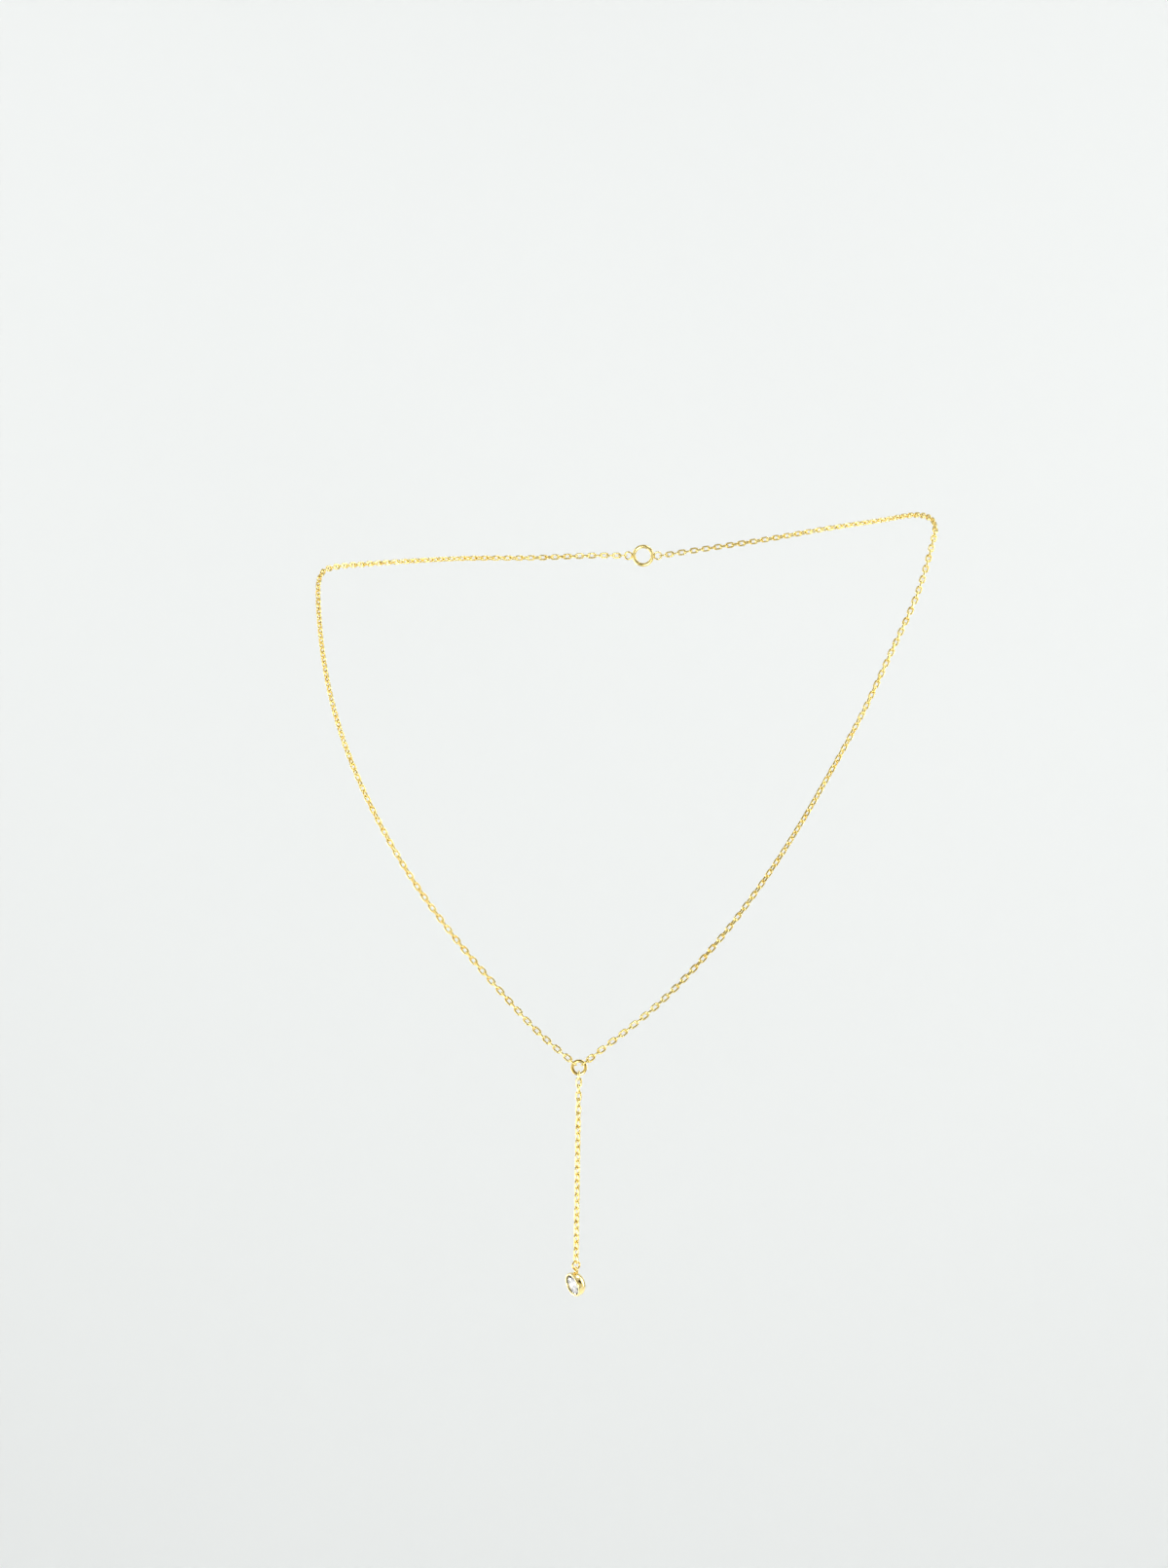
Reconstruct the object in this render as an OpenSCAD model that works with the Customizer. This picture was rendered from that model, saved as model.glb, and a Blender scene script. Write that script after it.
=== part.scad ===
// Drop necklace: a fine cable chain, a centre ring, a short hanging drop of the same chain
// and a round bezel-set stone. The frame is that of the worn necklace: +Z up, -Y forwards,
// +X to the wearer's left, with the origin in the middle of the neck opening, at the height
// where the chain crosses the shoulders.

/* [Chain] */
// Distance from one link to the next
link_pitch = 1.55; // [1.5:0.01:1.6]
// Diameter of the link wire
wire_d = 0.38; // [0.32:0.02:0.38]
// Outer width of a link
link_w = 1.48; // [1.48:0.02:1.6]
// Clearance between two links where they hook together
link_gap = 0.13; // [0.12:0.01:0.16]
// Turn added from one link to the next on the wearer's left strand, besides the quarter turn
left_twist = 0.9; // [0:0.1:1.5]
// Turn added from one link to the next on the wearer's right strand
right_twist = 0.8; // [0:0.1:1.5]
// Diameter of the plain stretch of chain behind the neck
back_chain_d = 1.6; // [1.2:0.1:1.8]

/* [Centre ring] */
// Outer diameter of the ring that joins both strands and the drop
centre_ring_d = 3.7; // [3.6:0.1:4.4]
// Width of the centre ring's flattened wire, seen from the front
centre_wire_w = 0.74; // [0.5:0.02:0.78]
// Thickness of that wire from front to back
centre_wire_t = 0.42; // [0.3:0.02:0.42]
// How far the top of the centre ring leans back
centre_ring_tilt = 8; // [0:1:15]

/* [Drop] */
// Number of links in the drop
drop_links = 28; // [12:1:32]
// Number of links at the top of the drop that are wound up
drop_wound = 8; // [7:1:9]
// Turn added from one of these links to the next, besides the quarter turn
drop_twist = 5.25; // [5:0.05:5.5]
// Outer diameter of the jump ring that carries the setting
pendant_ring_d = 2.3; // [2.2:0.1:2.6]
// Wire diameter of that jump ring
pendant_wire_d = 0.4; // [0.3:0.02:0.4]
// Turn of that jump ring about the vertical
pendant_ring_turn = 40; // [38:1:44]

/* [Setting] */
// Width of the bezel's rounded rim
rim_w = 0.44; // [0.4:0.02:0.5]
// Depth of the bezel from rim to back
bezel_depth = 2.6; // [2.6:0.1:2.8]
// Outer diameter of the loop soldered to the bezel
loop_d = 1.7; // [1.6:0.1:2]
// Wire diameter of that loop
loop_wire_d = 0.42; // [0.34:0.02:0.44]
// Turn of the setting's face from straight ahead towards the wearer's right
setting_turn = 53; // [46:1:58]
// How far the setting's face looks down as it hangs
setting_tilt = 15; // [10:1:18]

/* [Stone] */
// Diameter of the stone
stone_d = 4.8; // [4.6:0.1:5]
// Height of the stone above its girdle
crown_h = 0.5; // [0.4:0.05:0.65]
// Depth of the stone below its girdle
pavilion_h = 2.1; // [1.9:0.05:2.15]

/* [Clasp] */
// Outer diameter of the round clasp
clasp_d = 5.5; // [5:0.5:7]
// Wire diameter of the clasp
clasp_wire_d = 0.9; // [0.8:0.1:1.2]
// Outer diameter of the eye on each side of the clasp
eye_d = 2.2; // [2:0.1:2.6]
// Wire diameter of an eye
eye_wire_d = 0.4; // [0.3:0.02:0.4]

/* [Hidden] */

GOLD = "gold";
CLEAR = "aliceblue";
UP = [0, 0, 1];

// Middle of the centre ring, which hangs in front of the neck opening
CENTRE = [-6, -62, -116];
// Middle of the clasp at the nape
NAPE = [0, 52, -2.5];
// Sideways place of the foot of the drop, which leans a little to the wearer's right
FOOT_X = -6.65;

// Route of each strand from the centre ring over the shoulder to the nape, chosen by hand
LEFT_ROUTE = [[11.5, -59, -102], [24, -55, -89], [34, -50.5, -76], [42.5, -44.5, -63],
              [50, -37.5, -50], [57, -29, -37], [63, -20, -24], [69, -10.5, -10.5],
              [72.5, -1.5, 1.5], [73, 3.5, 5.5], [71.5, 8.5, 7.5], [67.5, 16, 8], [59, 27.5, 6.5],
              [46.5, 38.5, 4.5], [30, 47, 1.5], [14, 51, -1]];
RIGHT_ROUTE = [[-15, -61, -108.5], [-21.5, -59.5, -102], [-33.5, -56.5, -89], [-44, -52.5, -76],
               [-52.5, -47, -63.5], [-60, -39.5, -50.5], [-66, -30, -37.5], [-70.5, -18, -24.5],
               [-73.5, -5, -11], [-73.5, 1, -6], [-71, 6.5, -4.5], [-65, 16, -4], [-56, 28, -3.5],
               [-43, 39, -3], [-27, 47.5, -3], [-13, 51, -2.5]];
// Number of links of each strand that are made one by one, up to where it passes the shoulder
LEFT_LINKS = 109;
RIGHT_LINKS = 100;

link_len = link_pitch + link_gap + 2 * wire_d;
WIRE_SIDES = 16;
RING_WIRE_SIDES = 24;
ROUND_SIDES = 48;
SPAN_STEPS = 12;
TUBE_SIDES = 8;
TUBE_STEP = 3.6;
// Space between a plain stretch and the link or eye next to it
END_GAP = 0.3;
// How deep two soldered wires run into each other
SOLDER = 0.15;
// Space between the jump ring and the loop that swings on it
SWING_GAP = 0.2;

function unit(v) = v / norm(v);
function across(v, t) = unit(v - (v * t) * t);

// Smooth curve through the knots p, with each end carried on in a straight line
function padded(p) = concat([2 * p[0] - p[1]], p, [2 * p[len(p) - 1] - p[len(p) - 2]]);
function curve_point(a, b, c, d, t) =
    0.5 * (2 * b + (c - a) * t + (2 * a - 5 * b + 4 * c - d) * t * t
           + (3 * b - a - 3 * c + d) * t * t * t);
function curve(p) =
    let (q = padded(p))
    concat([for (i = [1:len(q) - 3]) for (j = [0:SPAN_STEPS - 1])
               curve_point(q[i - 1], q[i], q[i + 1], q[i + 2], j / SPAN_STEPS)],
           [p[len(p) - 1]]);

// Distance along the points of a curve, and the point at a distance s along it
function distances(p) =
    [for (i = 0, s = 0; i < len(p); s = i + 1 < len(p) ? s + norm(p[i + 1] - p[i]) : s, i = i + 1) s];
function place(p, d, s) =
    [for (axis = [0:2]) lookup(s, [for (i = [0:len(p) - 1]) [d[i], p[i][axis]]])];

// Points where the links of a chain meet, the first one inside the ring that it hooks into
function joints(p, d, count) = [for (k = [0:count]) place(p, d, k * link_pitch)];
function headings(j) = [for (k = [0:len(j) - 2]) unit(j[k + 1] - j[k])];
// Direction that the flat face of each link looks in, a quarter turn on from the link before
// and a twist more after each of the first wound links
function turned(n, t, a) = let (m = across(n, t)) m * cos(a) + cross(t, m) * sin(a);
function faces(t, first, twist, wound) =
    [for (k = 0, n = across(first, t[0]); k < len(t);
          n = k + 1 < len(t) ? turned(n, t[k + 1], k < wound ? 90 + twist : 90) : n, k = k + 1) n];

// How far inside the middle of a ring's wire the first link's meeting point lies
function hook_depth(ring_wire) = (link_gap + ring_wire) / 2;

// The centre ring's plane: sideways, up along the ring, and straight out of it
ring_up = [0, sin(centre_ring_tilt), cos(centre_ring_tilt)];
ring_out = [0, -cos(centre_ring_tilt), sin(centre_ring_tilt)];
centre_r = (centre_ring_d - centre_wire_w) / 2;
// Direction in the ring's plane towards the point q
function ring_dir(q) = across(q - CENTRE, ring_out);
function ring_start(q) = CENTRE + (centre_r - hook_depth(centre_wire_w)) * ring_dir(q);

// Each strand ends in the eye on its own side of the clasp
eye_x = (clasp_d + eye_d) / 2 - SOLDER;
eye_r = (eye_d - eye_wire_d) / 2;
function clasp_end(side) = NAPE + [side * (eye_x + eye_r - hook_depth(eye_wire_d)), 0, 0];
// Length of a strand's end that lies within the eye, which the plain stretch leaves out
eye_reach = hook_depth(eye_wire_d) + eye_wire_d / 2 + END_GAP;

left_curve = curve(concat([ring_start(LEFT_ROUTE[0])], LEFT_ROUTE, [clasp_end(1)]));
right_curve = curve(concat([ring_start(RIGHT_ROUTE[0])], RIGHT_ROUTE, [clasp_end(-1)]));
left_dist = distances(left_curve);
right_dist = distances(right_curve);

// The drop hangs from the lowest point of the centre ring
drop_lean = asin((FOOT_X - CENTRE[0]) / (drop_links * link_pitch));
drop_dir = [sin(drop_lean), 0, -cos(drop_lean)];
drop_top = CENTRE - centre_r * ring_up - hook_depth(centre_wire_w) * drop_dir;
drop_joints = [for (k = [0:drop_links]) drop_top + k * link_pitch * drop_dir];

// The jump ring hangs in the last link, and the setting's loop swings on its lowest point
pendant_r = (pendant_ring_d - pendant_wire_d) / 2;
pendant_ring_top = drop_joints[drop_links] - hook_depth(pendant_wire_d) * drop_dir;
pendant_ring_mid = pendant_ring_top - pendant_r * UP;
hinge = pendant_ring_mid - pendant_r * UP;

// Frame of the setting: its face looks along +Z and its loop is towards +Y
stone_r = stone_d / 2;
rim_lap = 0.05;
rim_inner_r = stone_r - rim_lap;
bezel_r = rim_inner_r + rim_w;
half_depth = bezel_depth / 2;
rim_round = rim_w / 2;
back_round = 1.7;
back_hole_r = 0.9;
back_floor = 0.3;
loop_r = (loop_d - loop_wire_d) / 2;
loop_z = -0.65;
// Radius of the outside at the loop's depth, where the back starts to round in
shoulder_r = bezel_r - back_round + sqrt(pow(back_round, 2) - pow(back_round - half_depth - loop_z, 2));
loop_y = shoulder_r + loop_d / 2 - SOLDER;
hinge_y = loop_y + loop_r - (loop_wire_d + pendant_wire_d) / 2 - SWING_GAP;

// Stone, a round brilliant with eight main facets
girdle_z = 0.92;
girdle_h = 0.1;
stone_gap = 0.06;
table_r = 0.56 * stone_r;
star_r = 0.8 * stone_r;
lower_r = 0.25 * stone_r;
table_z = girdle_z + crown_h;
culet_z = girdle_z - pavilion_h;

module oval_link() {
    mid_r = (link_w - wire_d) / 2;
    half_straight = (link_len - link_w) / 2;
    for (side = [-1, 1]) {
        translate([side * half_straight, 0, 0])
            rotate([0, 0, -side * 90])
                rotate_extrude(angle = 180, $fn = ROUND_SIDES)
                    translate([mid_r, 0])
                        circle(d = wire_d, $fn = WIRE_SIDES);
        translate([-half_straight, side * mid_r, 0])
            rotate([0, 90, 0])
                cylinder(h = 2 * half_straight, d = wire_d, $fn = WIRE_SIDES);
    }
}

// Stands a child with its length along t and its flat face along n, at the point p
module stand(p, t, n) {
    y = cross(n, t);
    multmatrix([[t[0], y[0], n[0], p[0]],
                [t[1], y[1], n[1], p[1]],
                [t[2], y[2], n[2], p[2]],
                [0, 0, 0, 1]])
        children();
}

module chain(points, first, twist, wound) {
    t = headings(points);
    n = faces(t, first, twist, wound);
    for (k = [0:len(t) - 1])
        stand((points[k] + points[k + 1]) / 2, t[k], n[k])
            oval_link();
}

module wire_ring(d, wire) {
    rotate_extrude($fn = ROUND_SIDES)
        translate([(d - wire) / 2, 0])
            circle(d = wire, $fn = RING_WIRE_SIDES);
}

// Ring of flattened wire with rounded edges
module flat_ring(d, width, thickness) {
    rotate_extrude($fn = ROUND_SIDES)
        translate([(d - width) / 2, 0]) {
            square([width - thickness, thickness], center = true);
            for (side = [-1, 1])
                translate([side * (width - thickness) / 2, 0])
                    circle(d = thickness, $fn = RING_WIRE_SIDES);
        }
}

// Plain round tube swept along part of a curve, from the distance s0 to s1
module tube(p, d, s0, s1) {
    rings = ceil((s1 - s0) / TUBE_STEP);
    middles = [for (i = [0:rings]) place(p, d, s0 + (s1 - s0) * i / rings)];
    points = [for (i = [0:rings])
        let (t = unit(middles[min(i + 1, rings)] - middles[max(i - 1, 0)]),
             side = across(UP, t),
             out = cross(t, side))
        for (k = [0:TUBE_SIDES - 1])
            middles[i] + back_chain_d / 2 * (cos(360 * k / TUBE_SIDES) * out
                                             + sin(360 * k / TUBE_SIDES) * side)];
    walls = [for (i = [0:rings - 1]) for (k = [0:TUBE_SIDES - 1])
        let (a = i * TUBE_SIDES + k, b = i * TUBE_SIDES + (k + 1) % TUBE_SIDES)
        [a, b, b + TUBE_SIDES, a + TUBE_SIDES]];
    first_cap = [for (k = [0:TUBE_SIDES - 1]) TUBE_SIDES - 1 - k];
    last_cap = [for (k = [0:TUBE_SIDES - 1]) rings * TUBE_SIDES + k];
    polyhedron(points, concat(walls, [first_cap], [last_cap]));
}

module neck_chain_left() {
    color(GOLD)
        chain(joints(left_curve, left_dist, LEFT_LINKS),
              cross(ring_out, ring_dir(LEFT_ROUTE[0])), left_twist, LEFT_LINKS);
}

module neck_chain_right() {
    color(GOLD)
        chain(joints(right_curve, right_dist, RIGHT_LINKS),
              cross(ring_out, ring_dir(RIGHT_ROUTE[0])), right_twist, RIGHT_LINKS);
}

// Distances along a strand at which its plain stretch starts, just past the last link, and ends
function back_start(links) = links * link_pitch + (link_len - link_pitch) / 2 + END_GAP;
function back_end(d) = d[len(d) - 1] - eye_reach;

module back_chain_left() {
    color(GOLD)
        tube(left_curve, left_dist, back_start(LEFT_LINKS), back_end(left_dist));
}

module back_chain_right() {
    color(GOLD)
        tube(right_curve, right_dist, back_start(RIGHT_LINKS), back_end(right_dist));
}

module drop_chain() {
    color(GOLD)
        chain(drop_joints, [1, 0, 0], drop_twist, drop_wound);
}

module centre_ring() {
    color(GOLD)
        stand(CENTRE, [1, 0, 0], ring_out)
            flat_ring(centre_ring_d, centre_wire_w, centre_wire_t);
}

module pendant_ring() {
    color(GOLD)
        translate(pendant_ring_mid)
            rotate([90, 0, pendant_ring_turn])
                wire_ring(pendant_ring_d, pendant_wire_d);
}

// Moves the setting's frame to where it hangs
module hung() {
    translate(hinge)
        rotate([0, 0, -setting_turn])
            rotate([90 + setting_tilt, 0, 0])
                translate([0, -hinge_y, -loop_z])
                    children();
}

module bezel_section() {
    difference() {
        union() {
            translate([rim_inner_r + rim_round, half_depth - rim_round])
                circle(r = rim_round, $fn = WIRE_SIDES);
            translate([0, back_round - half_depth])
                square([bezel_r, bezel_depth - back_round - rim_round]);
            translate([bezel_r - back_round, back_round - half_depth])
                circle(r = back_round, $fn = ROUND_SIDES);
            translate([0, -half_depth])
                square([bezel_r - back_round, bezel_depth / 2]);
        }
        polygon([[-1, -half_depth - 1],
                 [back_hole_r, -half_depth - 1],
                 [back_hole_r, -half_depth + back_floor],
                 [stone_r + stone_gap, girdle_z - girdle_h / 2 - stone_gap],
                 [stone_r + stone_gap, girdle_z + girdle_h / 2 + stone_gap],
                 [rim_inner_r, half_depth - rim_round],
                 [rim_inner_r, half_depth + 1],
                 [-1, half_depth + 1]]);
        translate([-bezel_r, -bezel_depth])
            square([bezel_r, 2 * bezel_depth]);
    }
}

module setting() {
    color(GOLD)
        hung() {
            rotate_extrude($fn = ROUND_SIDES)
                bezel_section();
            translate([0, loop_y, loop_z])
                wire_ring(loop_d, loop_wire_d);
        }
}

// A ring of count points at radius r and height z, the first one at the angle turn
function stone_ring(count, r, z, turn) =
    [for (k = [0:count - 1]) [r * cos(turn + 360 * k / count), r * sin(turn + 360 * k / count), z]];

module brilliant() {
    top = girdle_z + girdle_h / 2;
    bottom = girdle_z - girdle_h / 2;
    // Heights that keep each kite-shaped facet flat
    star_z = top + (table_z - top) * (stone_r - star_r * cos(22.5)) / (stone_r - table_r);
    lower_z = bottom + (culet_z - bottom) * (stone_r - lower_r * cos(22.5)) / stone_r;
    points = concat(stone_ring(8, table_r, table_z, 0),
                    stone_ring(8, star_r, star_z, 22.5),
                    stone_ring(16, stone_r, top, 0),
                    stone_ring(16, stone_r, bottom, 0),
                    stone_ring(8, lower_r, lower_z, 22.5),
                    [[0, 0, culet_z]]);
    star = 8;
    girdle = 16;
    under = 32;
    lower = 48;
    culet = 56;
    table = [[for (k = [7:-1:0]) k]];
    crown = [for (k = [0:7])
        let (next = (k + 1) % 8, last = (k + 7) % 8, g = girdle + 2 * k, h = girdle + (2 * k + 2) % 16)
        each [[k, next, star + k],
              [k, star + k, g, star + last],
              [star + k, g + 1, g],
              [star + k, h, g + 1]]];
    band = [for (k = [0:15])
        let (next = (k + 1) % 16)
        [girdle + k, girdle + next, under + next, under + k]];
    pavilion = [for (k = [0:7])
        let (last = (k + 7) % 8, g = under + 2 * k, h = under + (2 * k + 2) % 16)
        each [[culet, lower + last, g, lower + k],
              [lower + k, g, g + 1],
              [lower + k, g + 1, h]]];
    polyhedron(points, concat(table, crown, band, pavilion));
}

module stone() {
    color(CLEAR)
        hung()
            brilliant();
}

// A round clasp as one plain piece, with an eye on each side for the end of a strand
module clasp() {
    color(GOLD)
        translate(NAPE)
            rotate([90, 0, 0]) {
                wire_ring(clasp_d, clasp_wire_d);
                for (side = [-1, 1])
                    translate([side * eye_x, 0, 0])
                        wire_ring(eye_d, eye_wire_d);
            }
}

neck_chain_left();
neck_chain_right();
back_chain_left();
back_chain_right();
drop_chain();
centre_ring();
pendant_ring();
setting();
stone();
clasp();
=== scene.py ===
# %% [markdown]
# # A drop necklace: from plain solids to a finished jewel
# The necklace is a fine cable chain of gold-plated brass. A round ring in the middle carries a
# short hanging drop of the same chain, and at its foot swings a small clear stone in a bezel.
# The solids of every piece are already there, at their real size and place. This lesson gives
# them their looks: it models the metal pieces again with smooth surfaces, puts each one exactly
# where its solid is, and gives every piece the finish of its real material.

# %% Load the solids
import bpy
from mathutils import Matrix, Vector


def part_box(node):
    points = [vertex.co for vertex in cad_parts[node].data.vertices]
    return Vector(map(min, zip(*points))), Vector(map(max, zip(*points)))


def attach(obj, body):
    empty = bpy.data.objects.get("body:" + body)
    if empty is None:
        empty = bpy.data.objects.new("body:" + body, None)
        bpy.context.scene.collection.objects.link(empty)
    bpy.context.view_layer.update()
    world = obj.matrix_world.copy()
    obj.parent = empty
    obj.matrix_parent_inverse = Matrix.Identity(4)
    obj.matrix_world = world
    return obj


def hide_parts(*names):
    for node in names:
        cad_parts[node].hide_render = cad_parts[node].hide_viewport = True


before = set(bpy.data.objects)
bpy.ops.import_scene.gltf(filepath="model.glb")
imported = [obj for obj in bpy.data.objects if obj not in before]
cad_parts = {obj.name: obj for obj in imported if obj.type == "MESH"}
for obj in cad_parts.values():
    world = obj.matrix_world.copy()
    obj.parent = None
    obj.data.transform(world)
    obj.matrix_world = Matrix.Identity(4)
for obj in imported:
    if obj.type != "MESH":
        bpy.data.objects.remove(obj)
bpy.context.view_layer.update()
print("solids loaded:", ", ".join(sorted(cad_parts)))

# %% [markdown]
# ## Units
# The solids come in metres, but a jeweller measures in millimetres. Blender could be told to
# show millimetres, yet its operators would still want metres. So every length below is written
# as a number times MM.

# %% Units
import math

import bmesh
import bpy
from mathutils import Matrix, Vector

MM = 0.001
print("one millimetre is", MM, "of Blender's units")

# %% [markdown]
# ## The camera
# The photograph was taken from straight in front, a hand's breadth round to one side and a
# little above the middle ring, with a long lens. One could move the camera about until it looks
# right. Here the lens is worked out from the scale at the ring instead, because that can be
# checked: at one metre, one pixel of the picture covers 0.22 mm. The camera then stands so that
# the ring falls on its own pixel.

# %% Camera
PICTURE_W, PICTURE_H = 1200, 1611
PIXEL_AT_RING = 0.22 * MM
RING_DISTANCE = 1.0
RING_PIXEL = (594.8, 1096.8)
CAMERA_TURN = math.radians(5)
CAMERA_DOWN = math.radians(4)
SENSOR_W = 36
NEAREST_SEEN = 0.05
FARTHEST_SEEN = 60

ring_low, ring_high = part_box("centre_ring")
ring_middle = (ring_low + ring_high) / 2

look_right = Vector((math.cos(CAMERA_TURN), math.sin(CAMERA_TURN), 0))
look_ahead = Vector((-math.sin(CAMERA_TURN) * math.cos(CAMERA_DOWN),
                     math.cos(CAMERA_TURN) * math.cos(CAMERA_DOWN),
                     -math.sin(CAMERA_DOWN)))
look_up = look_right.cross(look_ahead)
ring_aside = (RING_PIXEL[0] - PICTURE_W / 2) * PIXEL_AT_RING
ring_below = (RING_PIXEL[1] - PICTURE_H / 2) * PIXEL_AT_RING

bpy.ops.object.camera_add(
    location=(ring_middle - look_ahead * RING_DISTANCE - look_right * ring_aside
              + look_up * ring_below),
    rotation=(math.pi / 2 - CAMERA_DOWN, 0, CAMERA_TURN))
camera = bpy.context.object
camera.name = "camera"
camera.data.sensor_fit = "HORIZONTAL"
camera.data.sensor_width = SENSOR_W
camera.data.lens = SENSOR_W * RING_DISTANCE / PIXEL_AT_RING / PICTURE_W
camera.data.clip_start = NEAREST_SEEN
camera.data.clip_end = FARTHEST_SEEN
bpy.context.scene.camera = camera
print(f"camera at {[round(x, 3) for x in camera.location]}, lens {camera.data.lens:.1f} mm")

# %% [markdown]
# ## Colours and nodes
# Colours are written as the hex values that a paint program shows. Blender's shaders want
# linear light, so one function turns the one into the other. A finish could be put together in
# the shader editor by mouse. In code, a second small function adds a node, sets its values and
# joins its inputs, which keeps each finish short and easy to compare with the next.

# %% Colour and node tools


def colour(hex_code):
    """The linear colour, with alpha, of an sRGB hex value such as #F2D680."""
    channels = [int(hex_code[i:i + 2], 16) / 255 for i in (1, 3, 5)]
    linear = [c / 12.92 if c <= 0.04045 else ((c + 0.055) / 1.055) ** 2.4 for c in channels]
    return (*linear, 1.0)


def add_node(tree, kind, values=(), links=(), **settings):
    """Adds a node; values and links are lists of (input, value) and (input, output) pairs."""
    node = tree.nodes.new(kind)
    for name, setting in settings.items():
        setattr(node, name, setting)
    for socket, value in values:
        node.inputs[socket].default_value = value
    for socket, output in links:
        tree.links.new(output, node.inputs[socket])
    return node


def new_material(name):
    """A material with nothing but its output and a shader joined to it."""
    material = bpy.data.materials.new(name)
    material.use_nodes = True
    tree = material.node_tree
    tree.nodes.clear()
    shader = add_node(tree, "ShaderNodeBsdfPrincipled")
    add_node(tree, "ShaderNodeOutputMaterial", links=[("Surface", shader.outputs["BSDF"])])
    return material, tree, shader


print(f"the middle grey #808080 is {colour('#808080')[0]:.3f} in linear light")

# %% [markdown]
# ## Picking what to edit
# A mesh could be built from long lists of points. Here every piece is modelled as by hand
# instead, with operators in edit mode, so that each step has a name and can be done again at
# another size. The tools below do what the mouse does: they deselect everything, open a piece,
# and pick the vertices, edges or faces that the next operator should act on.

# %% Selection tools


def start_fresh():
    """Deselects every object, because an operator acts on all that is selected."""
    bpy.ops.object.select_all(action="DESELECT")


def take(piece):
    """Selects one piece and nothing else, and makes it the active one."""
    start_fresh()
    piece.select_set(True)
    bpy.context.view_layer.objects.active = piece


def open_piece(piece):
    """Opens a piece in edit mode with nothing in it selected."""
    take(piece)
    bpy.ops.object.mode_set(mode="EDIT")
    bpy.ops.mesh.select_all(action="DESELECT")


def close_piece():
    """Goes back to object mode, where the piece stays the active one."""
    bpy.ops.object.mode_set(mode="OBJECT")


def pick(piece, kind, wanted):
    """Selects only the verts, edges or faces of an open piece for which wanted is true."""
    bpy.ops.mesh.select_mode(type={"verts": "VERT", "edges": "EDGE", "faces": "FACE"}[kind])
    bpy.ops.mesh.select_all(action="DESELECT")
    mesh = bmesh.from_edit_mesh(piece.data)
    for part in getattr(mesh, kind):
        if wanted(part):
            part.select_set(True)
    mesh.select_flush_mode()
    bmesh.update_edit_mesh(piece.data)


print("still selected:", [o.name for o in bpy.context.selected_objects])

# %% [markdown]
# ## The studio
# A jewel is lit by what it mirrors. Behind it a photographer hangs a roll of matt paper that
# runs down and out over the floor. A floor and a wall could be two planes, but their seam would
# show as a line behind the chain. So it is one plane: its back edge is pulled up to make the
# wall, and the fold is rounded with a wide bevel. The floor lies far below the picture.

# %% Floor and backdrop
FLOOR_Z = -1.7
FLOOR_W = 14.0
FLOOR_BACK_Y = 2.3
WALL_H = 6.5
FOLD_R = 0.7
FOLD_STEPS = 24
STUDIO_NEAR = 0.001


def at_back(edge):
    """Finds the edges that run along the back of the floor, or higher up on the wall."""
    return all(v.co.y > FLOOR_BACK_Y - STUDIO_NEAR for v in edge.verts)


def at_fold(edge):
    """Finds the edge where the floor meets the wall."""
    return at_back(edge) and all(v.co.z < FLOOR_Z + STUDIO_NEAR for v in edge.verts)


start_fresh()
bpy.ops.mesh.primitive_plane_add(size=FLOOR_W, location=(0, FLOOR_BACK_Y - FLOOR_W / 2, FLOOR_Z))
backdrop = bpy.context.object
backdrop.name = "backdrop"
bpy.ops.object.transform_apply(location=True, rotation=True, scale=True)
open_piece(backdrop)
pick(backdrop, "edges", at_back)
bpy.ops.mesh.extrude_region_move(TRANSFORM_OT_translate={"value": (0, 0, WALL_H)})
pick(backdrop, "edges", at_fold)
bpy.ops.mesh.bevel(offset=FOLD_R, segments=FOLD_STEPS, affect="EDGES")
close_piece()
bpy.ops.object.shade_smooth()
print(f"backdrop: {len(backdrop.data.polygons)} faces")

# %% [markdown]
# ## The paper
# Studio paper is pressed wood pulp with no coating, so it is quite matt and hardly mirrors
# anything. One flat colour would do from afar. A faint cloudiness, in patches about two thirds
# of a metre wide, keeps it from looking like a screen.

# %% Matt paper
PAPER_SHADE = "#E2E4E3"
PAPER_LIGHT = "#E6E8E7"
PAPER_ROUGHNESS = 0.9
CLOUDS_PER_METRE = 1.5

paper, tree, shader = new_material("matte_paper")
place = add_node(tree, "ShaderNodeTexCoord")
cloudy = add_node(tree, "ShaderNodeTexNoise", links=[("Vector", place.outputs["Object"])],
                  values=[("Scale", CLOUDS_PER_METRE), ("Detail", 2.0)])
tone = add_node(tree, "ShaderNodeValToRGB", links=[("Fac", cloudy.outputs["Fac"])])
tone.color_ramp.elements[0].color = colour(PAPER_SHADE)
tone.color_ramp.elements[1].color = colour(PAPER_LIGHT)
tree.links.new(tone.outputs["Color"], shader.inputs["Base Color"])
shader.inputs["Roughness"].default_value = PAPER_ROUGHNESS
backdrop.data.materials.append(paper)
print("paper:", PAPER_SHADE, "to", PAPER_LIGHT)

# %% [markdown]
# ## The lights
# Lamps without a size would leave only pinpricks on polished gold, so every light is a panel.
# Two tall panels stand behind the jewel, left and right out of the picture, and light only the
# paper. Five more light the jewel. Each is placed by its direction from the jewel as the camera
# sees it: how far right, up and to the front. The one on the right draws a bright line down the
# bezel, and the small one overhead leaves a white spot there. The large one on the left fills
# the stone with light, the weak one below keeps the bezel's lower side pale, and the one in
# front brightens the middle of the wires.

# %% Light panels
# The middle of the drop, at which the five panels aim, and how far they stand from it
JEWEL = Vector((-0.006, -0.062, -0.14))
PANEL_DISTANCE = 1.3
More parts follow.
